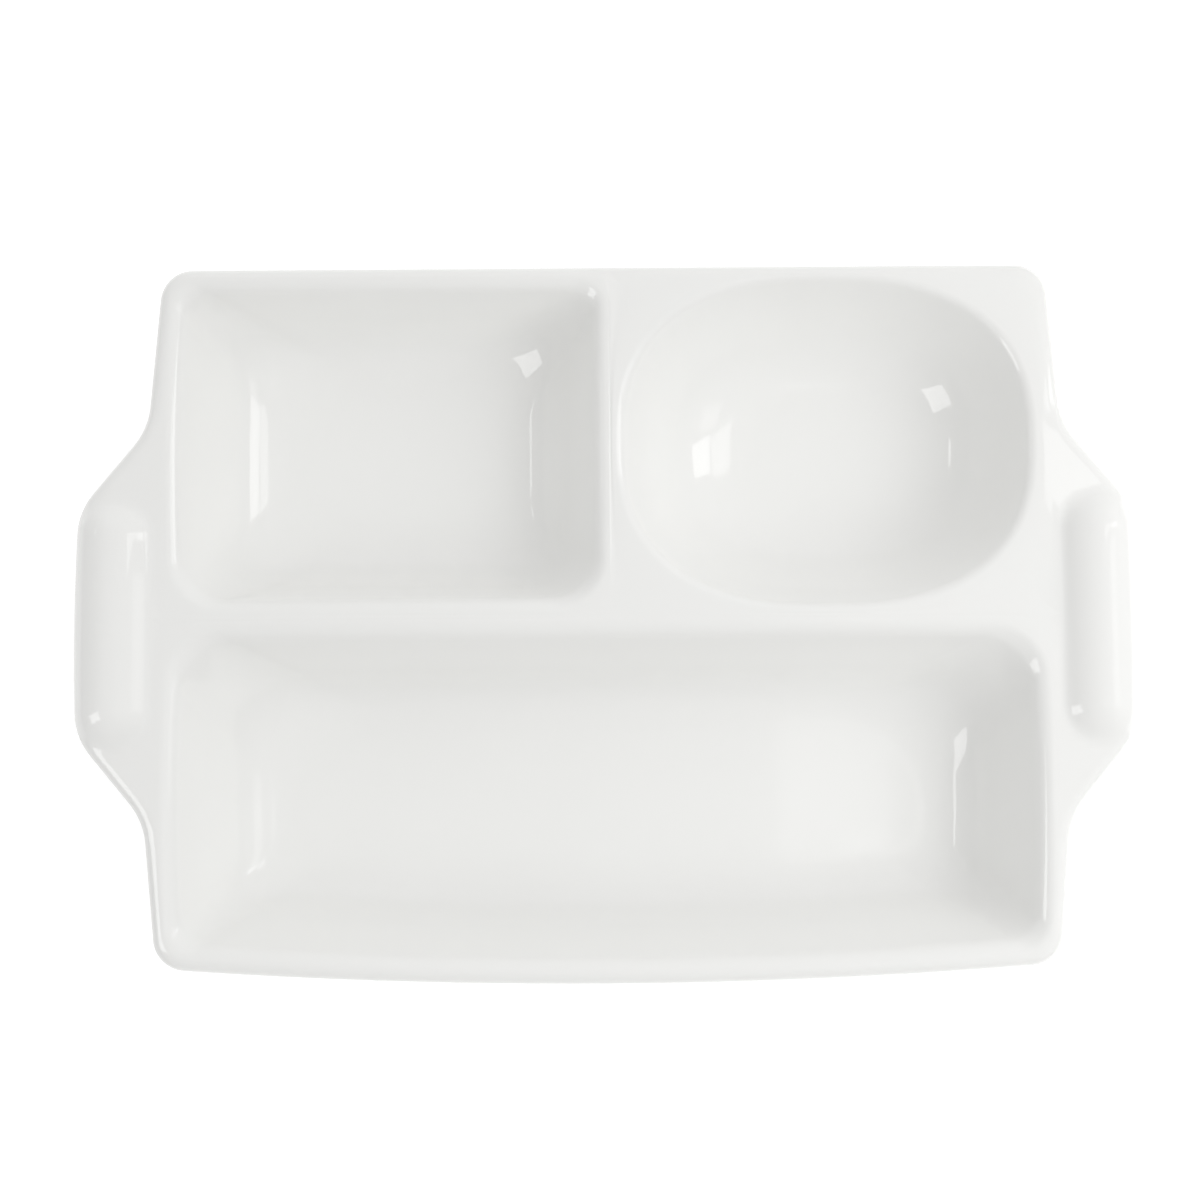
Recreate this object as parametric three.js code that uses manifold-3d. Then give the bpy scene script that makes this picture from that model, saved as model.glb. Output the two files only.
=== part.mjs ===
// Divided serving dish: one piece of white glazed porcelain with a rectangular well, an oval well and
// a long well, a level rim around and between them, and a lug handle at each end.
// Millimetres, +Z up, +Y to the back. The origin lies under the middle of the dish, where it stands.
import * as THREE from 'three';
import Module from 'manifold-3d';

const wasm = await Module();
wasm.setup();

// Body outline, seen from above
const CORNER_WIDTH = 268.8; // across the sharp corners of the body
const BODY_DEPTH = 216; // from the back edge to the middle of the front edge
const SIDE_FLARE = 4.1; // each side moves out by this from a corner to the handle's root
const FRONT_BOW = 5.2; // the front edge swells by this past its corners
const CORNER_RADIUS = 10;

// Lug handles
const HANDLE_REACH = 20.7; // from the root to the handle's shoulders
const HANDLE_BOW = 0.8; // the outer edge swells by this past the shoulders
const ROOT_SPAN = 118.5; // along the body, between the two roots of a handle
const SHOULDER_SPAN = 68.5; // along the outer edge, between its two shoulders
const ROOT_FILLET = 22;
const SHOULDER_RADIUS = 20;
const GRIP_HEIGHT = 4.5; // the rounded grip stands this high over the rim
const GRIP_EDGE = 0.7; // from the handle's outer edge in to the foot of the grip
const GRIP_OUTER = 9.8; // from the outer foot of the grip to its crest
const GRIP_INNER = 12; // from the crest to the foot beside the wells
const GRIP_END = 10; // length of each rounded end of the grip
const GRIP_OVERRUN = 2.5; // the grip runs this far past the shoulders
const CREST_SHARE = 0.1; // the top of the grip is flat over this share of its width

// Heights and thicknesses
const DECK_HEIGHT = 38; // top of the rim and of the dividers
const RIM_THICKNESS = 5.5;
const WALL = 5; // wall of each well, square to its surface
const FLOOR_THICKNESS = 4.5;
const LIP_WIDTH = 4; // rounding of the outer edge, across the rim
const LIP_DROP = 3; // and downwards
const LIP_UNDER = 1.8; // rounding below the outer edge

// Layout of the wells, measured where wall and rim would meet in a sharp edge
const SIDE_RIM = 5.8; // beside the wells, at the body's corners
const BACK_RIM = 6.4; // behind the rectangular well
const FRONT_RIM = 6.4; // before the long well
const ROW_LINE = 0.9; // middle of the ridge between back and front wells, from the dish's middle
const RIDGE_WIDTH = 10.2;
const POST_LINE = 1.7; // middle of the post between the two back wells, from the dish's middle
const POST_WIDTH = 7;
const OVAL_SWELL = 2.1; // the oval well reaches this much nearer to the back edge and to the ridge
const OVAL_POWER = 2.5; // 2 is an ellipse, more is squarer

// Walls of the wells
const SQUARE_END_LEAN = 17.5; // run of the rectangular well's left and right walls from rim to floor
const SQUARE_SIDE_LEAN = 11; // and of its back and front walls
const LONG_END_LEAN = 19; // the same for the long well
const LONG_SIDE_LEAN = 15;
const OVAL_LEAN = 18;
const RIDGE_CORNER = 13.5; // corners of the rectangular wells beside the ridge
const OUTER_CORNER = 7; // and those at the back and front edges
const END_BOW = 1.5; // their walls beside the handles swell outwards by this
const SQUARE_END_FILLET = 26; // between the floor and the left and right walls
const SQUARE_SIDE_FILLET = 21; // between the floor and the back and front walls
const LONG_END_FILLET = 24;
const LONG_SIDE_FILLET = 12;
const OVAL_FILLET = 40;
const SQUARE_RIM_ROUND = 5; // rounding of the edge between rim and wall, for each well
const OVAL_RIM_ROUND = 4;
const LONG_RIM_ROUND = 6.5;

// Foot ring under each well
const FOOT_HEIGHT = 2;
const FOOT_WIDTH = 4;
const FOOT_SETBACK = 1.5; // from the edge of the flat base in to the ring
const FOOT_DRAFT = 0.4; // the ring narrows by this on each side, down to where it stands

// Fineness of the curves
const ARC_STEPS = 7; // segments in a rounded corner
const LIP_STEPS = 4;
const RIM_STEPS = 4;
const FILLET_STEPS = 5;
const OVAL_POINTS = 56;
const BOW_STEPS = 8;
const END_STEPS = 16; // segments round one end of the grip
const GRIP_LEVELS = 6;

// Lines that several features share
const back = BODY_DEPTH / 2;
const frontCorner = FRONT_BOW - back;
const cornerSide = CORNER_WIDTH / 2;
const rootSide = cornerSide + SIDE_FLARE;
const shoulderSide = rootSide + HANDLE_REACH;
const wellSide = cornerSide - SIDE_RIM;
const floorHeight = FOOT_HEIGHT + FLOOR_THICKNESS;
const wellDepth = DECK_HEIGHT - floorHeight;
const plateUnder = DECK_HEIGHT - RIM_THICKNESS;
const tubTop = DECK_HEIGHT - RIM_THICKNESS / 2; // the tubs end inside the rim plate

// Turns loops of equal length, stacked from the bottom up, into a closed solid with flat ends.
function loft(loops) {
  const count = loops[0].points.length;
  const vertices = loops.flatMap(({ points, z }) => points.flatMap(([x, y]) => [x, y, z]));
  const triangles = [];
  for (let i = 0; i + 1 < loops.length; i++) {
    for (let j = 0; j < count; j++) {
      const a = i * count + j;
      const b = i * count + ((j + 1) % count);
      triangles.push(a, b, b + count, a, b + count, a + count);
    }
  }
  const first = (loops.length - 1) * count;
  const faces = (points) =>
    THREE.ShapeUtils.triangulateShape(points.map(([x, y]) => new THREE.Vector2(x, y)), []);
  for (const [a, b, c] of faces(loops[0].points)) triangles.push(c, b, a);
  for (const [a, b, c] of faces(loops.at(-1).points)) triangles.push(first + a, first + b, first + c);
  const vertProperties = new Float32Array(vertices);
  const triVerts = new Uint32Array(triangles);
  return new wasm.Manifold(new wasm.Mesh({ numProp: 3, vertProperties, triVerts }));
}

// Points of an arc from angle a to angle b, with the end points.
function arc(cx, cy, radius, a, b, steps) {
  return Array.from({ length: steps + 1 }, (_, i) => {
    const angle = a + ((b - a) * i) / steps;
    return [cx + radius * Math.cos(angle), cy + radius * Math.sin(angle)];
  });
}

// A closed anticlockwise loop through sharp corners, each rounded by an arc of its own radius.
// inset moves the loop inwards: arcs round a jutting corner get tighter, those in a notch wider.
function roundedLoop(corners, inset) {
  const count = corners.length;
  const heading = (a, b) => new THREE.Vector2(b.x - a.x, b.y - a.y).normalize();
  return corners.flatMap((corner, i) => {
    const before = heading(corners[(i + count - 1) % count], corner);
    const after = heading(corner, corners[(i + 1) % count]);
    const turn = Math.atan2(before.cross(after), before.dot(after));
    const side = Math.sign(turn);
    const inwards = new THREE.Vector2(-before.y - after.y, before.x + after.x).normalize();
    const centre = inwards.multiplyScalar((side * corner.radius) / Math.cos(turn / 2));
    const start = Math.atan2(-before.x * side, before.y * side);
    const radius = corner.radius - side * inset;
    return arc(corner.x + centre.x, corner.y + centre.y, radius, start, start + turn, ARC_STEPS);
  });
}

// The middle corner of a bowed edge: its arc takes up the length that the neighbouring arcs leave.
function bowCorner(halfLength, bow, neighbourRadius, neighbourTurn) {
  const reach = halfLength - neighbourRadius * Math.tan(neighbourTurn / 2);
  const rise = bow / (1 - reach / (2 * halfLength));
  return { rise, radius: (reach * halfLength) / rise };
}

// The body's outline with both handles, moved inwards by inset.
function outline(inset) {
  const front = bowCorner(cornerSide, FRONT_BOW, CORNER_RADIUS, Math.PI / 2);
  const slope = Math.atan2(HANDLE_REACH, (ROOT_SPAN - SHOULDER_SPAN) / 2);
  const handle = bowCorner(SHOULDER_SPAN / 2, HANDLE_BOW, SHOULDER_RADIUS, slope);
  const rightSide = [
    { x: cornerSide, y: frontCorner, radius: CORNER_RADIUS },
    { x: rootSide, y: -ROOT_SPAN / 2, radius: ROOT_FILLET },
    { x: shoulderSide, y: -SHOULDER_SPAN / 2, radius: SHOULDER_RADIUS },
    { x: shoulderSide + handle.rise, y: 0, radius: handle.radius },
    { x: shoulderSide, y: SHOULDER_SPAN / 2, radius: SHOULDER_RADIUS },
    { x: rootSide, y: ROOT_SPAN / 2, radius: ROOT_FILLET },
    { x: cornerSide, y: back, radius: CORNER_RADIUS },
  ];
  const leftSide = rightSide.map((corner) => ({ ...corner, x: -corner.x })).reverse();
  const middle = { x: 0, y: frontCorner - front.rise, radius: front.radius };
  return roundedLoop([middle, ...rightSide, ...leftSide], inset);
}

// The rim plate: the outline with a soft lip above and a smaller rounding below.
function rimPlate() {
  const quarter = Array.from({ length: LIP_STEPS + 1 }, (_, i) => (i * Math.PI) / (2 * LIP_STEPS));
  const under = quarter.map((t) => ({
    points: outline(LIP_UNDER * (1 - Math.sin(t))),
    z: plateUnder + LIP_UNDER * (1 - Math.cos(t)),
  }));
  const over = quarter.map((t) => ({
    points: outline(LIP_WIDTH * (1 - Math.cos(t))),
    z: DECK_HEIGHT - LIP_DROP * (1 - Math.sin(t)),
  }));
  return loft([...under, ...over]);
}

// How far a leaning wall has moved inwards at a height over its floor. The edge at the rim and the
// corner at the floor are arcs that touch the wall, and inset 0 is the sharp edge that they replace.
function wallInset(height, { depth, lean, rim, fillet }) {
  const angle = Math.atan2(depth, lean);
  const bend = Math.tan(angle / 2);
  if (height < fillet * (1 - Math.cos(angle))) {
    return lean + fillet * bend - Math.sqrt(height * (2 * fillet - height));
  }
  const drop = depth - height;
  if (drop < rim * (1 - Math.cos(angle))) {
    return Math.sqrt(Math.max(0, drop * (2 * rim - drop))) - rim * bend;
  }
  return (drop * lean) / depth;
}

// The outer face of the same wall, one wall thickness out, down to the underside of its floor.
function outerWall({ depth, lean, fillet }) {
  const fullDepth = depth + FLOOR_THICKNESS;
  return { depth: fullDepth, lean: (lean * fullDepth) / depth, rim: 0, fillet: fillet + WALL };
}

function outerShift({ depth, lean }) {
  return WALL / Math.sin(Math.atan2(depth, lean));
}

// Numbers from a to b in equal steps, without the two ends.
function between(a, b, steps) {
  return Array.from({ length: steps - 1 }, (_, i) => a + ((b - a) * (i + 1)) / steps);
}

// Anticlockwise rectangle with its own corner radius at the front and at the back. Its front, left and
// right sides may swell outwards by a bow.
function rectangleLoop(cx, cy, halfX, halfY, corner, bow) {
  const quarter = Math.PI / 2;
  const { front, back: rear } = corner;
  const sideY = between(front - halfY, halfY - rear, BOW_STEPS);
  const points = [
    ...between(front - halfX, halfX - front, BOW_STEPS).map((x) => [x, -halfY]),
    ...arc(halfX - front, front - halfY, front, -quarter, 0, ARC_STEPS),
    ...sideY.map((y) => [halfX, y]),
    ...arc(halfX - rear, halfY - rear, rear, 0, quarter, ARC_STEPS),
    ...arc(rear - halfX, halfY - rear, rear, quarter, 2 * quarter, ARC_STEPS),
    ...sideY.reverse().map((y) => [-halfX, y]),
    ...arc(front - halfX, front - halfY, front, 2 * quarter, 3 * quarter, ARC_STEPS),
  ];
  return points.map(([px, py]) => {
    const u = px / halfX;
    const v = py / halfY;
    const sideways = (1 - v * v) * (bow.right * Math.max(0, u) - bow.left * Math.max(0, -u));
    const forwards = (1 - u * u) * bow.front * Math.max(0, -v);
    return [cx + px + sideways, cy + py - forwards];
  });
}

// A rectangular well. inside(z) is its section at a height, and outside(z, inset) that of its outer face,
// moved further in by inset. Corners get wider by what a section stands out, and tighter by the inset.
function rectangleWell({ x0, x1, y0, y1, rim, end, side, corner, bow }) {
  const ends = { ...end, depth: wellDepth, rim };
  const sides = { ...side, depth: wellDepth, rim };
  const section = (insetX, insetY, wider) => {
    const rounded = { front: corner.front + wider, back: corner.back + wider };
    const halfX = (x1 - x0) / 2 - insetX;
    const halfY = (y1 - y0) / 2 - insetY;
    return rectangleLoop((x0 + x1) / 2, (y0 + y1) / 2, halfX, halfY, rounded, bow);
  };
  const inner = (z, wall) => wallInset(z - floorHeight, wall);
  const outer = (z, wall) => wallInset(z - FOOT_HEIGHT, outerWall(wall)) - outerShift(wall);
  return {
    steepest: Math.atan2(wellDepth, side.lean),
    rim,
    fillet: side.fillet,
    inside: (z) => section(inner(z, ends), inner(z, sides), Math.max(0, -inner(z, ends))),
    outside: (z, inset = 0) => section(outer(z, ends) + inset, outer(z, sides) + inset, WALL - inset),
  };
}

// The oval well: every section is the same squarish oval, made smaller with depth like a bowl.
function ovalWell(x0, x1, y0, y1, rim) {
  const halfX = (x1 - x0) / 2;
  const halfY = (y1 - y0) / 2;
  const wall = { depth: wellDepth, lean: OVAL_LEAN, rim, fillet: OVAL_FILLET };
  const section = (inset) =>
    Array.from({ length: OVAL_POINTS }, (_, i) => {
      const angle = (2 * Math.PI * i) / OVAL_POINTS;
      const c = Math.cos(angle);
      const s = Math.sin(angle);
      const x = (halfX - inset) * Math.sign(c) * Math.abs(c) ** (2 / OVAL_POWER);
      const y = (halfY - (inset * halfY) / halfX) * Math.sign(s) * Math.abs(s) ** (2 / OVAL_POWER);
      return [(x0 + x1) / 2 + x, (y0 + y1) / 2 + y];
    });
  return {
    steepest: Math.atan2(wellDepth, OVAL_LEAN),
    rim,
    fillet: OVAL_FILLET,
    inside: (z) => section(wallInset(z - floorHeight, wall)),
    outside: (z, inset = 0) =>
      section(wallInset(z - FOOT_HEIGHT, outerWall(wall)) - outerShift(wall) + inset),
  };
}

// Heights along an arc that leaves the level at 0 and turns to the given angle.
function arcHeights(radius, angle, steps) {
  return Array.from({ length: steps + 1 }, (_, i) => radius * (1 - Math.cos((angle * i) / steps)));
}

// The hollow of a well, as a solid to cut away. It runs on above the rim with the mouth's own section.
function hollow(well) {
  const floor = arcHeights(well.fillet, well.steepest, FILLET_STEPS).map((h) => floorHeight + h);
  const mouth = arcHeights(well.rim, well.steepest, RIM_STEPS).map((h) => DECK_HEIGHT - h);
  const levels = [...floor, ...mouth.reverse()];
  const loops = levels.map((z) => ({ points: well.inside(z), z }));
  return loft([...loops, { points: well.inside(DECK_HEIGHT), z: DECK_HEIGHT + GRIP_HEIGHT }]);
}

// The outside of a well: wall, rounded base and the solid block of its foot ring.
function tub(well) {
  const base = arcHeights(well.fillet + WALL, well.steepest, FILLET_STEPS).map((h) => FOOT_HEIGHT + h);
  const wall = [...base, tubTop].map((z) => ({ points: well.outside(z), z }));
  return loft([
    { points: well.outside(FOOT_HEIGHT, FOOT_SETBACK + FOOT_DRAFT), z: 0 },
    { points: well.outside(FOOT_HEIGHT, FOOT_SETBACK), z: FOOT_HEIGHT },
    ...wall,
  ]);
}

// The recess inside a foot ring, which leaves the ring standing.
function footRecess(well) {
  const inner = FOOT_SETBACK + FOOT_WIDTH;
  return loft([
    { points: well.outside(FOOT_HEIGHT, inner - FOOT_DRAFT), z: -FOOT_HEIGHT },
    { points: well.outside(FOOT_HEIGHT, inner - FOOT_DRAFT), z: 0 },
    { points: well.outside(FOOT_HEIGHT, inner), z: FOOT_HEIGHT },
  ]);
}

// A raised grip: every level is a long oval round the crest line, and its height falls with the square
// of the distance from the crest. side is 1 on the right handle and -1 on the left.
function grip(side) {
  const crest = shoulderSide + HANDLE_BOW - GRIP_EDGE - GRIP_OUTER;
  const straight = SHOULDER_SPAN / 2 + GRIP_OVERRUN - GRIP_END;
  const section = (share) => {
    const end = (sign) =>
      Array.from({ length: END_STEPS + 1 }, (_, i) => {
        const angle = (Math.PI * i) / END_STEPS;
        const across = sign * Math.cos(angle);
        const width = across > 0 ? GRIP_OUTER : GRIP_INNER;
        return [crest + share * width * across, sign * (straight + share * GRIP_END * Math.sin(angle))];
      });
    const points = [...end(1), ...end(-1)];
    return side > 0 ? points : points.map(([x, y]) => [-x, y]).reverse();
  };
  const levels = Array.from({ length: GRIP_LEVELS }, (_, i) => {
    const share = 1 - ((1 - CREST_SHARE) * i) / (GRIP_LEVELS - 1);
    return { points: section(share), z: DECK_HEIGHT + GRIP_HEIGHT * (1 - share * share) };
  });
  return loft([{ points: section(1), z: tubTop }, ...levels]);
}

// The three wells
const ridgeBack = ROW_LINE + RIDGE_WIDTH / 2;
const ridgeFront = ROW_LINE - RIDGE_WIDTH / 2;
const squareBack = back - BACK_RIM;
const postLeft = POST_LINE - POST_WIDTH / 2;
const postRight = POST_LINE + POST_WIDTH / 2;
const square = rectangleWell({
  x0: -wellSide,
  x1: postLeft,
  y0: ridgeBack,
  y1: squareBack,
  rim: SQUARE_RIM_ROUND,
  end: { lean: SQUARE_END_LEAN, fillet: SQUARE_END_FILLET },
  side: { lean: SQUARE_SIDE_LEAN, fillet: SQUARE_SIDE_FILLET },
  corner: { front: RIDGE_CORNER, back: OUTER_CORNER },
  bow: { front: 0, left: END_BOW, right: 0 },
});
const oval = ovalWell(postRight, wellSide, ridgeBack - OVAL_SWELL, squareBack + OVAL_SWELL, OVAL_RIM_ROUND);
const long = rectangleWell({
  x0: -wellSide,
  x1: wellSide,
  y0: frontCorner + FRONT_RIM,
  y1: ridgeFront,
  rim: LONG_RIM_ROUND,
  end: { lean: LONG_END_LEAN, fillet: LONG_END_FILLET },
  side: { lean: LONG_SIDE_LEAN, fillet: LONG_SIDE_FILLET },
  corner: { front: OUTER_CORNER, back: RIDGE_CORNER },
  bow: { front: FRONT_BOW, left: END_BOW, right: END_BOW },
});
const wells = [square, oval, long];

function dishBody() {
  const solids = [rimPlate(), ...wells.map(tub), grip(1), grip(-1)];
  const cuts = [...wells.map(hollow), ...wells.map(footRecess)];
  const whole = solids.reduce((sum, solid) => sum.add(solid));
  return cuts.reduce((rest, cut) => rest.subtract(cut), whole);
}

function geometryOf(solid) {
  const { vertProperties, triVerts } = solid.getMesh();
  const geometry = new THREE.BufferGeometry();
  geometry.setAttribute('position', new THREE.BufferAttribute(vertProperties, 3));
  geometry.setIndex(new THREE.BufferAttribute(triVerts, 1));
  geometry.computeVertexNormals();
  return geometry;
}

const glazedPorcelain = new THREE.MeshStandardMaterial({ color: 0xf2f2ef, roughness: 0.12, metalness: 0 });
const dish = new THREE.Mesh(geometryOf(dishBody()), glazedPorcelain);
dish.name = 'dish';

const dividedServingDish = new THREE.Group();
dividedServingDish.add(dish);

export default dividedServingDish;
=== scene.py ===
"""Looks of a divided serving dish: one piece of white glazed porcelain on a pale floor in soft light."""

import math

import bmesh
import bpy
import numpy as np
from mathutils import Matrix, Vector


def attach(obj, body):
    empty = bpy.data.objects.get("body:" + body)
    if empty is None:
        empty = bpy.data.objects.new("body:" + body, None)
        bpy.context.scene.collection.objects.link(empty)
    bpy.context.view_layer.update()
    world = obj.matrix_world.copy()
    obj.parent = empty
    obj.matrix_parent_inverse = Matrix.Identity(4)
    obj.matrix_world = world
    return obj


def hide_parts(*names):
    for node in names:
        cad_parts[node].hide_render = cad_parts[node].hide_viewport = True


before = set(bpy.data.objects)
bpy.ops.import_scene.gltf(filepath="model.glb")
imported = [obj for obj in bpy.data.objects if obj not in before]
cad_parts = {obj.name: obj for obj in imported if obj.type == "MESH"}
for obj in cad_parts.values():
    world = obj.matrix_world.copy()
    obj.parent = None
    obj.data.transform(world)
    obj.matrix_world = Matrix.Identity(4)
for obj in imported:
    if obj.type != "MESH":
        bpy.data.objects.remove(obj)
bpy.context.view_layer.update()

# Sizes of the dish in millimetres, as in the CAD model
CORNER_WIDTH = 268.8
BODY_DEPTH = 216
SIDE_FLARE = 4.1
FRONT_BOW = 5.2
CORNER_RADIUS = 10
HANDLE_REACH = 20.7
HANDLE_BOW = 0.8
ROOT_SPAN = 118.5
SHOULDER_SPAN = 68.5
ROOT_FILLET = 22
SHOULDER_RADIUS = 20
GRIP_HEIGHT = 4.5
GRIP_EDGE = 0.7
GRIP_OUTER = 9.8
GRIP_INNER = 12
GRIP_END = 10
GRIP_OVERRUN = 2.5
DECK_HEIGHT = 38
RIM_THICKNESS = 5.5
WALL = 5
FLOOR_THICKNESS = 4.5
LIP_WIDTH = 4
LIP_DROP = 3
LIP_UNDER = 1.8
SIDE_RIM = 5.8
BACK_RIM = 6.4
FRONT_RIM = 6.4
ROW_LINE = 0.9
RIDGE_WIDTH = 10.2
POST_LINE = 1.7
POST_WIDTH = 7
OVAL_SWELL = 2.1
OVAL_POWER = 2.5
SQUARE_END_LEAN = 17.5
SQUARE_SIDE_LEAN = 11
LONG_END_LEAN = 19
LONG_SIDE_LEAN = 15
OVAL_LEAN = 18
RIDGE_CORNER = 13.5
OUTER_CORNER = 7
END_BOW = 1.5
SQUARE_END_FILLET = 26
SQUARE_SIDE_FILLET = 21
LONG_END_FILLET = 24
LONG_SIDE_FILLET = 12
OVAL_FILLET = 40
SQUARE_RIM_ROUND = 5
OVAL_RIM_ROUND = 4
LONG_RIM_ROUND = 6.5
FOOT_HEIGHT = 2

# Softening that only the visible surface has
GRIP_FOOT = 1.2  # blend between the grip and the rim
BEND_LENGTH = 1.06  # length of the bend between wall and floor, over that of an arc
LONG_SIDE_BEND = 1.5  # the same at the front and back of the long well, over the bend's usual length
BEND_EASE = 0.4  # how much easier a bend is at its ends than in its middle
FRONT_CORNER_GROWTH = 0.2  # how much rounder a well's front corners get per length of the wall's run
BACK_CORNER_GROWTH = 0.7  # the same for its back corners
CORNER_ROOM = 0.92  # a front and a back corner take up at most this share of a section's depth
TUB_BLEND = 2.4  # blend between the outer walls and the underside of the rim
TUB_FLARE = 1.8  # slope of the outer walls' imagined run above the rim's underside, for that blend
FOOT_IN = (1.1, 1.5, 1.62, 1.78, 1.95, 2.35, 4.65, 5.05, 5.22, 5.38, 5.5, 5.9)  # foot ring, from outside in
FOOT_UP = (2, 1.85, 1.2, 0.45, 0.12, 0, 0, 0.12, 0.45, 1.2, 1.85, 2)  # and its height at those places

# Pattern sizes of the glaze in metres
GLAZE_CLOUD = 0.045  # patches of thicker and thinner glaze
GLAZE_WAVE = 0.012  # waves of the glaze's surface
GLAZE_RELIEF = 0.00002  # height of those waves
CLAY_GRAIN = 0.0008  # grain of the bare clay
BARE_UP_TO = 0.0005  # height over the ground up to which a foot ring is bare
GLAZED_FROM = 0.0009

# The floor's glow, which is painted light, and the painted shadows that leave it out under the body and
# under the handles, in metres
FLOOR_GLOW = 0.32  # of the brightness of lit white paper
PAINTED_SHADOW_EDGE = 0.04  # corner radius of a shade
PAINTED_SHADOW_FADE = 0.02  # width of its soft border

# Fineness
NX = 60  # quads along one well's width
NY = 68  # quads along one well's depth
CORNER_POINTS = 10  # quads in half a well's corner
ARC_POINTS = 33  # points on each arc of an outline
OUTLINE_POINTS = 1600  # points of the outline that distances are measured to
END_CROWDING = 0.35  # how much closer points lie at both ends of an edge
BEND_STEPS = 400  # steps in which a bend is added up
RIM_RINGS = 9  # rings over a well's rounded rim
BEND_RINGS = 18  # rings from BEND_TOP down to the floor
BEND_TOP = 20  # height over the floor, in millimetres, below which rings lie closer
TUB_RINGS = 6  # rings down an outer wall to TUB_BEND_TOP
TUB_BEND_RINGS = 8  # rings from there to the foot ring
TUB_BEND_TOP = 14  # height over the base, in millimetres
LIP_RINGS = 8  # rings over the lip
UNDER_RINGS = 6  # rings under the lip
HANDLE_ROWS = 27  # rows from the body's edge out to a handle's edge
HANDLE_ZONE = 0.7  # share of the body's depth that the handles lie in
WELD = 2e-6  # points closer than this, in metres, are one

back = BODY_DEPTH / 2
front_corner = FRONT_BOW - back
corner_side = CORNER_WIDTH / 2
root_side = corner_side + SIDE_FLARE
shoulder_side = root_side + HANDLE_REACH
well_side = corner_side - SIDE_RIM
floor_height = FOOT_HEIGHT + FLOOR_THICKNESS
well_depth = DECK_HEIGHT - floor_height
plate_under = DECK_HEIGHT - RIM_THICKNESS


def unit(vectors):
    """Vectors shortened or stretched to length one, along the last axis."""
    return vectors / np.linalg.norm(vectors, axis=-1, keepdims=True)


def rounded_path(corners):
    """Closed anticlockwise path and its outward normals. Rows of corners are x, y and radius: each sharp
    corner becomes an arc that touches both of its sides."""
    rows = np.array(corners, float)
    points = rows[:, :2]
    radius = rows[:, 2:]
    before = unit(points - np.roll(points, 1, 0))
    after = unit(np.roll(points, -1, 0) - points)
    cross = before[:, 0] * after[:, 1] - before[:, 1] * after[:, 0]
    turn = np.arctan2(cross, (before * after).sum(1))[:, None]
    side = np.sign(turn)
    both = before + after
    inwards = unit(np.stack([-both[:, 1], both[:, 0]], 1))
    centre = points + inwards * side * radius / np.cos(turn / 2)
    start = np.arctan2(-before[:, :1] * side, before[:, 1:] * side)
    angle = start + turn * np.linspace(0, 1, ARC_POINTS)
    rays = np.stack([np.cos(angle), np.sin(angle)], 2)
    path = centre[:, None] + radius[:, None] * rays
    normals = side[:, None] * rays
    return path.reshape(-1, 2), normals.reshape(-1, 2)


def bow_corner(half_length, bow, radius, turn):
    """Height and radius of a bowed edge's middle corner, whose arc takes up what its neighbours leave."""
    reach = half_length - radius * math.tan(turn / 2)
    rise = bow / (1 - reach / (2 * half_length))
    return rise, reach * half_length / rise


def body_corners(right_side):
    """Corners of a whole outline from those of its right side, front to back, and the bowed front edge."""
    rise, radius = bow_corner(corner_side, FRONT_BOW, CORNER_RADIUS, math.pi / 2)
    left_side = [(-x, y, r) for x, y, r in reversed(right_side)]
    return [left_side[-1], (0, front_corner - rise, radius), *right_side, *left_side[:-1]]


def along(path, normals, at):
    """Points and normals of a path at distances from its start; the path is walked round twice."""
    twice = np.concatenate([path, path, path[:1]])
    length = np.concatenate([[0], np.cumsum(np.linalg.norm(np.diff(twice, axis=0), axis=1))])
    turned = np.concatenate([normals, normals, normals[:1]])
    points = np.stack([np.interp(at, length, twice[:, k]) for k in range(2)], 1)
    facing = np.stack([np.interp(at, length, turned[:, k]) for k in range(2)], 1)
    return points, unit(facing), length


def soft_steps(count):
    """Numbers from 0 up to, not with, 1, that lie closer together at both ends."""
    t = np.arange(count) / count
    return t - END_CROWDING * np.sin(2 * math.pi * t) / (2 * math.pi)


def wall_inset(height, lean, fillet, rim, depth):
    """How far a leaning wall has moved in at a height over its floor: an arc at the rim, a straight run, and
    a bend into the floor. The bend is tighter in its middle than an arc, and easier at both of its ends."""
    angle = math.atan2(depth, lean)
    t = np.linspace(0, 1, BEND_STEPS)
    slope_at = angle * (t - BEND_EASE * np.sin(2 * math.pi * t) / (2 * math.pi))
    step = BEND_LENGTH * fillet * angle / len(t)
    bend_x = np.cumsum(np.cos(slope_at)) * step
    bend_z = np.cumsum(np.sin(slope_at)) * step
    reach = bend_x[-1] - bend_z[-1] * lean / depth
    drop = depth - height
    low = lean + reach - np.interp(height, bend_z, bend_x, left=0)
    high = np.sqrt(np.clip(drop * (2 * rim - drop), 0, None)) - rim * math.tan(angle / 2)
    inset = np.where(height < bend_z[-1], low, drop * lean / depth)
    return np.where(drop < rim * (1 - math.cos(angle)), high, inset)


def outer_inset(height, lean, fillet):
    """The same for the outer face of a wall, at a height over the underside of its floor."""
    full = well_depth + FLOOR_THICKNESS
    shift = WALL / math.sin(math.atan2(well_depth, lean))
    return wall_inset(height, lean * full / well_depth, fillet + WALL, 0, full) - shift


def side_points(half_along, half_across, first_radius, last_radius, count):
    """One side of rounded rectangles, from the middle of a corner's arc to the middle of the next one's:
    half an arc, a straight run and half an arc. One row for each size."""
    i = np.arange(count)
    first = np.clip((CORNER_POINTS - i) / CORNER_POINTS, 0, 1) * math.pi / 4
    last = np.clip((i - count + CORNER_POINTS) / CORNER_POINTS, 0, 1) * math.pi / 4
    straight = np.clip((i - CORNER_POINTS) / (count - 2 * CORNER_POINTS), 0, 1)
    run = 2 * half_along - first_radius - last_radius
    x = first_radius * (1 - np.sin(first)) + run * straight + last_radius * np.sin(last) - half_along
    y = first_radius * (1 - np.cos(first)) + last_radius * (1 - np.cos(last)) - half_across
    return x, y


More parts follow.
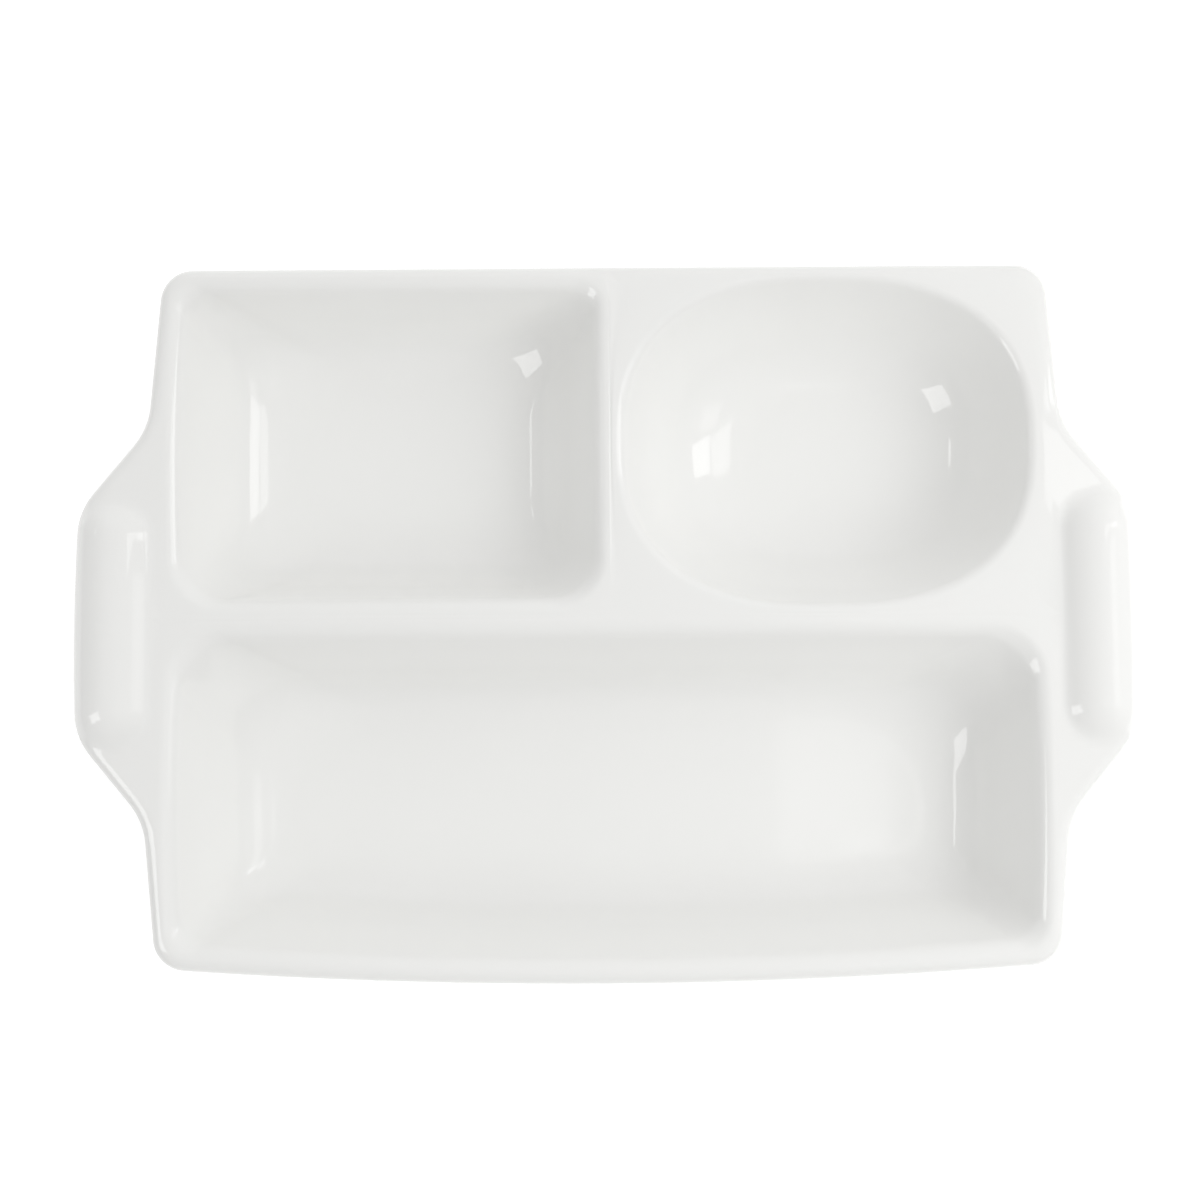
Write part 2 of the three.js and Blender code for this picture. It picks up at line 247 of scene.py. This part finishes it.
def rectangle_loops(centre, half_x, half_y, front_radius, back_radius, nx, bows):
    """Rounded rectangles, one for each size, anticlockwise from the front left corner. The front, left and
    right sides swell by their bows in the middle."""
    half_x = half_x[:, None]
    half_y = half_y[:, None]
    near = front_radius[:, None]
    far = back_radius[:, None]
    front_x, front_y = side_points(half_x, half_y, near, near, nx)
    right_x, right_y = side_points(half_y, half_x, near, far, NY)
    back_x, back_y = side_points(half_x, half_y, far, far, nx)
    left_x, left_y = side_points(half_y, half_x, far, near, NY)
    x = np.concatenate([front_x, -right_y, -back_x, left_y], 1)
    y = np.concatenate([front_y, right_x, -back_y, -left_x], 1)
    u = x / half_x
    v = y / half_y
    front_bow, left_bow, right_bow = bows
    sideways = (1 - v**2) * (right_bow * np.clip(u, 0, None) - left_bow * np.clip(-u, 0, None))
    forwards = (1 - u**2) * front_bow * np.clip(-v, 0, None)
    return np.stack([centre[0] + x + sideways, centre[1] + y - forwards], 2)


def oval_loops(centre, half_x, half_y, nx, ny):
    """Squarish ovals, one for each size: rays from the middle cut where |x|^p + |y|^p is 1."""
    u = np.tan(math.pi / 4 * (2 * np.arange(nx) / nx - 1))
    v = np.tan(math.pi / 4 * (2 * np.arange(ny) / ny - 1))
    p = np.concatenate([u, np.ones(ny), -u, -np.ones(ny)])
    q = np.concatenate([-np.ones(nx), v, np.ones(nx), -v])
    reach = (np.abs(p) ** OVAL_POWER + np.abs(q) ** OVAL_POWER) ** (-1 / OVAL_POWER)
    x = centre[0] + half_x[:, None] * p * reach
    y = centre[1] + half_y[:, None] * q * reach
    return np.stack([x, y], 2)


class RectangleWell:
    """Sections of a rectangular well: inside at heights over its floor, outside at heights over its base."""

    def __init__(self, x0, x1, y0, y1, rim, end, side, corners, bows, nx, softer=1):
        self.centre = ((x0 + x1) / 2, (y0 + y1) / 2)
        self.half = ((x1 - x0) / 2, (y1 - y0) / 2)
        self.rim = rim
        self.end = end
        self.side = side
        self.corners = corners
        self.bows = bows
        self.nx = nx
        self.softer = softer
        self.steepest = math.atan2(well_depth, side[0])

    def section(self, inset_x, inset_y, rounder):
        """Section with front and back corners rounder than the mouth's, as far as its depth has room."""
        half_x = self.half[0] - inset_x
        half_y = self.half[1] - inset_y
        near, far = (radius + more for radius, more in zip(self.corners, rounder))
        fits = np.minimum(1, 2 * CORNER_ROOM * half_y / (near + far))
        return rectangle_loops(self.centre, half_x, half_y, near * fits, far * fits, self.nx, self.bows)

    def inside(self, height):
        inset_x = wall_inset(height, *self.end, self.rim, well_depth)
        lean, fillet = self.side
        inset_y = wall_inset(height, lean, fillet * self.softer, self.rim, well_depth)
        out = np.clip(-inset_x, 0, None)
        run = np.clip(inset_y, 0, None)
        rounder = (out + FRONT_CORNER_GROWTH * run, out + BACK_CORNER_GROWTH * run)
        return self.section(inset_x, inset_y, rounder)

    def outside(self, height, inset):
        inset_x = outer_inset(height, *self.end) + inset
        inset_y = outer_inset(height, *self.side) + inset
        return self.section(inset_x, inset_y, (WALL - inset, WALL - inset))


class OvalWell:
    """Sections of the oval well, all of one form, smaller with depth."""

    def __init__(self, x0, x1, y0, y1, rim):
        self.centre = ((x0 + x1) / 2, (y0 + y1) / 2)
        self.half = ((x1 - x0) / 2, (y1 - y0) / 2)
        self.rim = rim
        self.nx = NX
        self.steepest = math.atan2(well_depth, OVAL_LEAN)

    def section(self, inset):
        half_x = self.half[0] - inset
        return oval_loops(self.centre, half_x, half_x * self.half[1] / self.half[0], NX, NY)

    def inside(self, height):
        return self.section(wall_inset(height, OVAL_LEAN, OVAL_FILLET, self.rim, well_depth))

    def outside(self, height, inset):
        return self.section(outer_inset(height, OVAL_LEAN, OVAL_FILLET) + inset)


def edge_distance(points):
    """Distance of points to the dish's outline, seen from above."""
    gaps = points[:, None] - outline_points[None]
    return np.sqrt((gaps**2).sum(2).min(1))


def lip_drop(distance):
    """How far the rim has dropped at a distance from its edge: a quarter of an ellipse."""
    share = np.clip(1 - distance / LIP_WIDTH, 0, 1)
    return LIP_DROP * (1 - np.sqrt(1 - share**2))


def grip_height(points):
    """Height of the raised grips over the rim: it falls with the square of the distance from the crest line,
    measured in widths of the grip, and blends softly into the rim."""
    crest = shoulder_side + HANDLE_BOW - GRIP_EDGE - GRIP_OUTER
    straight = SHOULDER_SPAN / 2 + GRIP_OVERRUN - GRIP_END
    across = np.abs(points[..., 0]) - crest
    width = np.where(across > 0, GRIP_OUTER, GRIP_INNER)
    past = np.clip(np.abs(points[..., 1]) - straight, 0, None)
    height = GRIP_HEIGHT * (1 - (across / width) ** 2 - (past / GRIP_END) ** 2)
    blended = (np.clip(height, -GRIP_FOOT, GRIP_FOOT) + GRIP_FOOT) ** 2 / (4 * GRIP_FOOT)
    return np.where(height > GRIP_FOOT, height, blended)


def lower_of(a, b, blend):
    """The smaller of two heights, with a soft bend of the given size where they cross."""
    share = np.clip(0.5 + 0.5 * (b - a) / blend, 0, 1)
    return b + (a - b) * share - blend * share * (1 - share)


def with_height(points, z):
    """Points of a plane lifted to heights."""
    return np.concatenate([points, np.broadcast_to(z, points.shape[:-1])[..., None]], -1)


def floor_grid(loop, nx, ny):
    """Grid that fills a loop of 2 (nx + ny) points: the blends of its opposite sides are added and the blend
    of its corners is taken off."""
    low = loop[: nx + 1]
    right = loop[nx : nx + ny + 1]
    high = loop[nx + ny : 2 * nx + ny + 1][::-1]
    left = np.concatenate([loop[2 * nx + ny :], loop[:1]])[::-1]
    u = np.linspace(0, 1, nx + 1)[None, :, None]
    v = np.linspace(0, 1, ny + 1)[:, None, None]
    across = left[:, None] * (1 - u) + right[:, None] * u
    upwards = low[None] * (1 - v) + high[None] * v
    low_line = low[0] * (1 - u) + low[-1] * u
    high_line = high[0] * (1 - u) + high[-1] * u
    return across + upwards - (low_line * (1 - v) + high_line * v)


def upper_cell(well, edge):
    """Rim, wall and floor of one well: rings from the cell's edge to the mouth and down the wall, and a grid
    over the floor."""
    rim_drop = well.rim * (1 - math.cos(well.steepest))
    rim_part = well_depth - rim_drop * np.linspace(0, 1, RIM_RINGS) ** 2
    foot_part = BEND_TOP * np.linspace(1, 0, BEND_RINGS) ** 2.5
    wall_part = np.linspace(rim_part[-1], foot_part[0], 4)[1:-1]
    height = np.concatenate([rim_part, wall_part, foot_part])
    loops = well.inside(height)
    share = np.linspace(0, 1, 4)[1:-1, None, None]
    rim_rings = edge[None, :, :2] * (1 - share) + loops[:1] * share
    rings = np.concatenate([rim_rings, loops])
    level = np.concatenate([np.full(len(rim_rings), well_depth), height])[:, None] + floor_height
    near = np.array([lip_drop(edge_distance(ring)) for ring in rings])
    walls = np.concatenate([edge[None], with_height(rings, level - near)])
    return [(walls, True), (floor_grid(walls[-1], well.nx, NY), False)]


def lower_cell(well, edge):
    """Underside of one well: rings from the cell's edge to the outer wall, down it and over the foot ring,
    and a grid over the recessed base."""
    bend = TUB_BEND_TOP * np.linspace(1, 0, TUB_BEND_RINGS) ** 2
    top = plate_under - FOOT_HEIGHT
    wall_part = top - (top - bend[0]) * np.linspace(0, 1, TUB_RINGS)[:-1] ** 1.5
    height = np.concatenate([wall_part, bend])
    inset = np.concatenate([np.zeros(len(height)), FOOT_IN])
    level = np.concatenate([height, np.zeros(len(FOOT_IN))])
    loops = well.outside(level, inset)
    z = np.concatenate([lower_of(height + FOOT_HEIGHT, plate_under, TUB_BLEND), FOOT_UP])
    share = np.linspace(0, 1, 4)[1:-1, None]
    gap = np.linalg.norm(edge[:, :2] - loops[0], axis=1)
    blended = lower_of(plate_under + TUB_FLARE * gap * (1 - share), plate_under, TUB_BLEND)
    rim_z = blended * share + plate_under * (1 - share)
    rim_rings = edge[None, :, :2] * (1 - share[..., None]) + loops[:1] * share[..., None]
    walls = [edge[None], with_height(rim_rings, rim_z), with_height(loops, z[:, None])]
    walls = np.concatenate(walls)
    return [(walls, True), (floor_grid(walls[-1], well.nx, NY), False)]


def mesh_of(name, sheets):
    """One welded mesh from sheets, each a grid of points in millimetres that may close along its rows."""
    points = np.concatenate([grid.reshape(-1, 3) for grid, _ in sheets]) * 0.001
    quads = []
    start = 0
    for grid, closed in sheets:
        rows, columns = grid.shape[:2]
        index = start + np.arange(rows * columns).reshape(rows, columns)
        if closed:
            index = np.concatenate([index, index[:, :1]], 1)
        corners = [index[:-1, :-1], index[:-1, 1:], index[1:, 1:], index[1:, :-1]]
        quads.append(np.stack(corners, 2).reshape(-1, 4))
        start += rows * columns
    mesh = bpy.data.meshes.new(name)
    mesh.from_pydata(points.tolist(), [], np.concatenate(quads).tolist())
    work = bmesh.new()
    work.from_mesh(mesh)
    bmesh.ops.remove_doubles(work, verts=work.verts, dist=WELD)
    bmesh.ops.recalc_face_normals(work, faces=work.faces)
    work.to_mesh(mesh)
    work.free()
    mesh.polygons.foreach_set("use_smooth", np.ones(len(mesh.polygons), bool))
    return mesh


# Outline with the handles, and the body's own edge, which runs straight on behind each handle
slope = math.atan2(HANDLE_REACH, (ROOT_SPAN - SHOULDER_SPAN) / 2)
handle_rise, handle_radius = bow_corner(SHOULDER_SPAN / 2, HANDLE_BOW, SHOULDER_RADIUS, slope)
front_end = (corner_side, front_corner, CORNER_RADIUS)
back_end = (corner_side, back, CORNER_RADIUS)
handle = [
    (root_side, -ROOT_SPAN / 2, ROOT_FILLET),
    (shoulder_side, -SHOULDER_SPAN / 2, SHOULDER_RADIUS),
    (shoulder_side + handle_rise, 0, handle_radius),
    (shoulder_side, SHOULDER_SPAN / 2, SHOULDER_RADIUS),
    (root_side, ROOT_SPAN / 2, ROOT_FILLET),
]
straight_on = [(root_side, -ROOT_SPAN / 2, 2 * ROOT_FILLET), (root_side, ROOT_SPAN / 2, 2 * ROOT_FILLET)]
outline, outline_normals = rounded_path(body_corners([front_end, *handle, back_end]))
body, body_normals = rounded_path(body_corners([front_end, *straight_on, back_end]))
around = along(outline, outline_normals, [0])[2]
measured_at = np.linspace(0, around[len(outline)], OUTLINE_POINTS)
outline_points = along(outline, outline_normals, measured_at)[0]

# Edge of the cells: the body's edge, moved in by the width of the lip's outer part, cut at wells' corners
inner = body - LIP_UNDER * body_normals
length = along(inner, body_normals, [0])[2]
arc_middle = [length[k * ARC_POINTS + ARC_POINTS // 2] for k in range(9)]
arc_end = [k * ARC_POINTS + ARC_POINTS - 1 for k in range(9)]
ridge_right_at = length[arc_end[3]] + ROW_LINE - inner[arc_end[3], 1]
post_back_at = length[arc_end[5]] + inner[arc_end[5], 0] - POST_LINE
ridge_left_at = length[arc_end[7]] + inner[arc_end[7], 1] - ROW_LINE
whole = length[len(inner)]
cuts = [arc_middle[0], arc_middle[2], ridge_right_at, arc_middle[5], post_back_at, arc_middle[6]]
cuts += [ridge_left_at, whole + arc_middle[0]]
counts = [2 * NX, NY, NY, NX, NX, NY, NY]
stations = [a + (b - a) * soft_steps(n) for a, b, n in zip(cuts[:-1], cuts[1:], counts)]
cell_edge, cell_normals, _ = along(inner, body_normals, np.concatenate(stations))

# Edge of the rim: the same points, moved out on each handle to the handle's own edge at the same depth
rim_edge = cell_edge.copy()
rim_normals = cell_normals.copy()
inner_outline = outline - LIP_UNDER * outline_normals
beside = (np.abs(cell_edge[:, 1]) < HANDLE_ZONE * back) & (np.abs(cell_edge[:, 0]) > well_side)
right_half = slice(2 * ARC_POINTS + ARC_POINTS // 2, 8 * ARC_POINTS + ARC_POINTS // 2 + 1)
edge_x, edge_y = inner_outline[right_half].T
edge_normal = outline_normals[right_half]
depth_at = cell_edge[beside, 1]
sign = np.sign(cell_edge[beside, 0])
rim_edge[beside, 0] = sign * np.interp(depth_at, edge_y, edge_x)
rim_normals[beside, 0] = sign * np.interp(depth_at, edge_y, edge_normal[:, 0])
rim_normals[beside, 1] = np.interp(depth_at, edge_y, edge_normal[:, 1])
rim_normals = unit(rim_normals)
on_handle = np.linalg.norm(rim_edge - cell_edge, axis=1) > 1e-3
cell_drop = np.where(on_handle, lip_drop(edge_distance(cell_edge)), lip_drop(LIP_UNDER))
cell_top = with_height(cell_edge, DECK_HEIGHT + grip_height(cell_edge) - cell_drop)
cell_bottom = with_height(cell_edge, plate_under)

# Lip: from the rim's edge outwards and down over a quarter of an ellipse, then back under
over = np.linspace(math.acos(1 - LIP_UNDER / LIP_WIDTH), 0, LIP_RINGS)
under = np.linspace(math.pi / 2, 0, UNDER_RINGS)
out_over = LIP_UNDER - LIP_WIDTH * (1 - np.cos(over))
out_under = LIP_UNDER * np.sin(under)
lip_over = rim_edge[None] + out_over[:, None, None] * rim_normals
lip_under = rim_edge[None] + out_under[:, None, None] * rim_normals
fall = DECK_HEIGHT - LIP_DROP * (1 - np.sin(over))
lip_rows = [
    with_height(lip_over, fall[:, None] + grip_height(lip_over)),
    with_height(lip_under, (plate_under + LIP_UNDER * (1 - np.cos(under)))[:, None]),
]
sheets = [(np.concatenate(lip_rows), True)]

# Handles: grids between the body's edge and the rim's edge, with the raised grip above
for first in (2 * NX, 4 * NX + 2 * NY):
    span = np.arange(first, first + 2 * NY)
    span = span[on_handle[span]]
    span = np.arange(span[0] - 1, span[-1] + 2)
    share = np.linspace(0, 1, HANDLE_ROWS)[:, None, None]
    grid = cell_edge[span][None] * (1 - share) + rim_edge[span][None] * share
    drop = np.array([lip_drop(edge_distance(row)) for row in grid])
    top = with_height(grid, DECK_HEIGHT + grip_height(grid) - drop)
    top[0] = cell_top[span]
    top[-1] = lip_rows[0][0, span]
    sheets.append((top, False))
    sheets.append((with_height(grid[:: HANDLE_ROWS // 2], plate_under), False))

# Cells: the ridge and the post between the wells split the rim into one cell round each well
middle = np.array([POST_LINE, ROW_LINE])
starts = np.concatenate([[0], np.cumsum(counts)])
ridge_back = ROW_LINE + RIDGE_WIDTH / 2
ridge_front = ROW_LINE - RIDGE_WIDTH / 2
square_back = back - BACK_RIM
post_left = POST_LINE - POST_WIDTH / 2
post_right = POST_LINE + POST_WIDTH / 2
square_walls = ((SQUARE_END_LEAN, SQUARE_END_FILLET), (SQUARE_SIDE_LEAN, SQUARE_SIDE_FILLET))
square_form = (SQUARE_RIM_ROUND, *square_walls, (RIDGE_CORNER, OUTER_CORNER), (0, END_BOW, 0), NX)
square = RectangleWell(-well_side, post_left, ridge_back, square_back, *square_form)
oval = OvalWell(post_right, well_side, ridge_back - OVAL_SWELL, square_back + OVAL_SWELL, OVAL_RIM_ROUND)
long_walls = ((LONG_END_LEAN, LONG_END_FILLET), (LONG_SIDE_LEAN, LONG_SIDE_FILLET))
long_bows = (FRONT_BOW, END_BOW, END_BOW)
long_form = (LONG_RIM_ROUND, *long_walls, (OUTER_CORNER, RIDGE_CORNER), long_bows, 2 * NX, LONG_SIDE_BEND)
long = RectangleWell(-well_side, well_side, front_corner + FRONT_RIM, ridge_front, *long_form)
for ring, cell in ((cell_top, upper_cell), (cell_bottom, lower_cell)):
    side = [ring[a:b] for a, b in zip(starts[:-1], starts[1:])]
    tee = with_height(middle, ring[starts[4], 2] + lip_drop(LIP_UNDER) * (cell is upper_cell))
    ends = [ring[starts[2]], ring[starts[4]], ring[starts[6]]]
    right_ridge = tee + (ends[0] - tee) * soft_steps(NX)[:, None]
    post = tee + (ends[1] - tee) * soft_steps(NY)[:, None]
    left_ridge = tee + (ends[2] - tee) * soft_steps(NX)[:, None]
    lines = (right_ridge, post, left_ridge)
    back_ways = [np.concatenate([line[1:], end[None]])[::-1] for line, end in zip(lines, ends)]
    sheets += cell(square, np.concatenate([back_ways[2], post, side[4], side[5]]))
    sheets += cell(oval, np.concatenate([right_ridge, side[2], side[3], back_ways[1]]))
    sheets += cell(long, np.concatenate([side[0], side[1], back_ways[0], left_ridge, side[6]]))

dish = bpy.data.objects.new("porcelain_dish", mesh_of("porcelain_dish", sheets))
bpy.context.collection.objects.link(dish)
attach(dish, "root")
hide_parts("dish")


def linear(code):
    """Linear colour from an sRGB hex code."""
    part = np.array([int(code[i : i + 2], 16) for i in (0, 2, 4)]) / 255
    value = np.where(part <= 0.04045, part / 12.92, ((part + 0.055) / 1.055) ** 2.4)
    return (*value.tolist(), 1)


def node(tree, kind, inputs=None, **settings):
    """Adds a node, sets its settings, and sets or links its inputs."""
    made = tree.nodes.new(kind)
    for key, value in settings.items():
        setattr(made, key, value)
    for key, value in (inputs or {}).items():
        if isinstance(value, bpy.types.NodeSocket):
            tree.links.new(value, made.inputs[key])
        else:
            made.inputs[key].default_value = value
    return made


def new_material(name):
    """An empty material: its tree, its shader and the object's own coordinates in metres."""
    material = bpy.data.materials.new(name)
    material.use_nodes = True
    tree = material.node_tree
    shader = tree.nodes["Principled BSDF"]
    place = node(tree, "ShaderNodeTexCoord").outputs["Object"]
    return material, tree, shader, place


# Glazed porcelain: a white body under a clear, very smooth glaze that pooled a little unevenly when dipped,
# so that reflections waver; the foot rings stood bare in the kiln and show the matt clay
material, tree, shader, place = new_material("glazed porcelain")
cloud = node(tree, "ShaderNodeTexNoise", {"Vector": place, "Scale": 1 / GLAZE_CLOUD, "Detail": 2})
glaze = node(
    tree,
    "ShaderNodeMix",
    {"Factor": cloud.outputs["Fac"], "A": linear("f7f7f5"), "B": linear("f9f9f7")},
    data_type="RGBA",
)
height = node(tree, "ShaderNodeSeparateXYZ", {0: place}).outputs["Z"]
edge = {"Value": height, "From Min": BARE_UP_TO, "From Max": GLAZED_FROM}
glazed = node(tree, "ShaderNodeMapRange", edge, interpolation_type="SMOOTHSTEP").outputs["Result"]
grain = node(tree, "ShaderNodeTexNoise", {"Vector": place, "Scale": 1 / CLAY_GRAIN, "Detail": 3})
clay = node(
    tree,
    "ShaderNodeMix",
    {"Factor": grain.outputs["Fac"], "A": linear("dedbd3"), "B": linear("e9e6df")},
    data_type="RGBA",
)
skin = {"Factor": glazed, "A": clay.outputs["Result"], "B": glaze.outputs["Result"]}
colour = node(tree, "ShaderNodeMix", skin, data_type="RGBA").outputs["Result"]
tree.links.new(colour, shader.inputs["Base Color"])
shine = {"Value": glazed, "To Min": 0.65, "To Max": 0.04}
tree.links.new(node(tree, "ShaderNodeMapRange", shine).outputs["Result"], shader.inputs["Roughness"])
wave = node(tree, "ShaderNodeTexNoise", {"Vector": place, "Scale": 1 / GLAZE_WAVE, "Detail": 1})
relief = {"Height": wave.outputs["Fac"], "Distance": GLAZE_RELIEF}
tree.links.new(node(tree, "ShaderNodeBump", relief).outputs["Normal"], shader.inputs["Normal"])
shader.inputs["IOR"].default_value = 1.5
dish.data.materials.append(material)

# Floor: a matt board with a glow of painted light so that it stays white, left out under the dish as a
# painted shadow
bpy.ops.mesh.primitive_plane_add(size=40, location=(0, 0, 0))
floor = bpy.context.object
floor.name = "floor"
material, tree, shader, place = new_material("board with painted glow and shadow")
shader.inputs["Base Color"].default_value = linear("fbfbfb")
shader.inputs["Roughness"].default_value = 0.9
shader.inputs["Emission Color"].default_value = linear("ffffff")
spread = node(tree, "ShaderNodeVectorMath", {0: place}, operation="ABSOLUTE").outputs[0]
glow = FLOOR_GLOW
# painted shadow: the glow fades out under the body and under the handles
for reach in ((corner_side, back), (shoulder_side, SHOULDER_SPAN / 2 + GRIP_END)):
    sides = (reach[0] * 0.001 - PAINTED_SHADOW_EDGE, reach[1] * 0.001 - PAINTED_SHADOW_EDGE, 0)
    past = node(tree, "ShaderNodeVectorMath", {0: spread, 1: sides}, operation="SUBTRACT").outputs[0]
    past = node(tree, "ShaderNodeVectorMath", {0: past, 1: (0, 0, 0)}, operation="MAXIMUM").outputs[0]
    far = node(tree, "ShaderNodeVectorMath", {0: past}, operation="LENGTH").outputs["Value"]
    fade = {"Value": far, "From Min": PAINTED_SHADOW_EDGE - PAINTED_SHADOW_FADE, "From Max": PAINTED_SHADOW_EDGE, "To Max": glow}
    glow = node(tree, "ShaderNodeMapRange", fade, interpolation_type="SMOOTHSTEP").outputs["Result"]
tree.links.new(glow, shader.inputs["Emission Strength"])
floor.data.materials.append(material)


def area_light(name, place, target, size, brightness):
    """A rectangular light at a place in metres, turned to a target. At 1 it is as bright as lit paper."""
    data = bpy.data.lights.new(name, "AREA")
    data.shape = "RECTANGLE"
    data.size, data.size_y = size
    data.energy = math.pi * size[0] * size[1] * brightness
    light = bpy.data.objects.new(name, data)
    light.location = place
    way = Vector(target) - Vector(place)
    light.rotation_euler = way.to_track_quat("-Z", "Y").to_euler()
    light.visible_camera = False
    bpy.context.collection.objects.link(light)
    return light


def direction(azimuth, elevation):
    """Unit vector to a place in the sky, in degrees from +X towards +Y and up."""
    a, e = math.radians(azimuth), math.radians(elevation)
    return math.cos(e) * math.cos(a), math.cos(e) * math.sin(a), math.sin(e)


# Surround: broad soft light from all sides, each lobe fading with the square of the cosine to its direction
SURROUND = (
    ((45, 45), 0.73),
    ((270, 45), 0.64),
    ((135, 5), 0.56),
    ((90, 5), 0.33),
    ((225, 5), 0.25),
    ((225, 45), 0.14),
    ((45, 5), 0.06),
)
world = bpy.data.worlds.new("studio")
world.use_nodes = True
tree = world.node_tree
way = node(tree, "ShaderNodeTexCoord").outputs["Generated"]
total = 0
for (azimuth, elevation), strength in SURROUND:
    towards = {0: way, 1: direction(azimuth, elevation)}
    facing = node(tree, "ShaderNodeVectorMath", towards, operation="DOT_PRODUCT").outputs["Value"]
    lit = node(tree, "ShaderNodeMath", {0: facing, 1: 0}, operation="MAXIMUM").outputs[0]
    lobe = node(tree, "ShaderNodeMath", {0: lit, 1: lit}, operation="MULTIPLY").outputs[0]
    more = {0: lobe, 1: strength, 2: total}
    total = node(tree, "ShaderNodeMath", more, operation="MULTIPLY_ADD").outputs[0]
background = tree.nodes["Background"]
background.inputs["Color"].default_value = linear("ffffff")
tree.links.new(total, background.inputs["Strength"])
bpy.context.scene.world = world

# Keys: near, wide and diffuse lights at the right, too soft to be seen in the glaze
for name, place, brightness in (
    ("key", (0.6, 0.05, 0.45), 1.48),
    ("key front", (0.5, -0.4, 0.5), 1.3),
    ("key high", (0.45, 0.1, 0.8), 0.52),
):
    area_light(name, place, (0, 0, 0.03), (0.4, 0.4), brightness).visible_glossy = False

# Windows that only the glaze shows: panes at the right, a pane and a slit at the left, and a skylight of
# three parts over the long well
for name, place, target, size, brightness in (
    ("pane low", (0.60, 0.19, 0.58), (-0.1, 0.05, 0.02), (0.09, 0.28), 2.6),
    ("pane high", (0.405, 0.17, 0.775), (-0.1, 0.05, 0.02), (0.10, 0.22), 1.7),
    ("pane front", (0.56, 0.02, 0.66), (-0.14, 0, 0.04), (0.17, 0.26), 0.9),
    ("pane left", (-0.60, -0.22, 0.62), (0, 0, 0.02), (0.28, 0.40), 3.2),
    ("slit left", (-0.66, 0.2, 0.56), (0, 0, 0.02), (0.08, 0.05), 3),
    ("skylight", (0.177, -0.075, 0.9), (0.177, -0.08, 0), (0.086, 0.12), 0.5),
    ("skylight side", (0.157, -0.075, 0.9), (0.157, -0.08, 0), (0.046, 0.12), 0.5),
    ("skylight corner", (0.198, -0.115, 0.9), (0.198, -0.12, 0), (0.036, 0.04), 0.4),
):
    area_light(name, place, target, size, brightness).visible_diffuse = False

# Camera: nearly overhead, a little to the front, with a slight roll
TILT = math.radians(4.8)
ROLL = math.radians(-0.4)
CAMERA_PLACE = (-0.00175, -0.04301, 0.62065)
right = Vector((1, 0, 0))
up = Vector((0, math.cos(TILT), math.sin(TILT)))
backwards = Vector((0, -math.sin(TILT), math.cos(TILT)))
right, up = math.cos(ROLL) * right + math.sin(ROLL) * up, math.cos(ROLL) * up - math.sin(ROLL) * right
camera_data = bpy.data.cameras.new("camera")
camera_data.sensor_width = 36
camera_data.lens = 58.5
camera = bpy.data.objects.new("camera", camera_data)
turned = Matrix((right, up, backwards)).transposed().to_4x4()
camera.matrix_world = Matrix.Translation(CAMERA_PLACE) @ turned
bpy.context.collection.objects.link(camera)
bpy.context.scene.camera = camera
bpy.context.scene.view_settings.view_transform = "Standard"
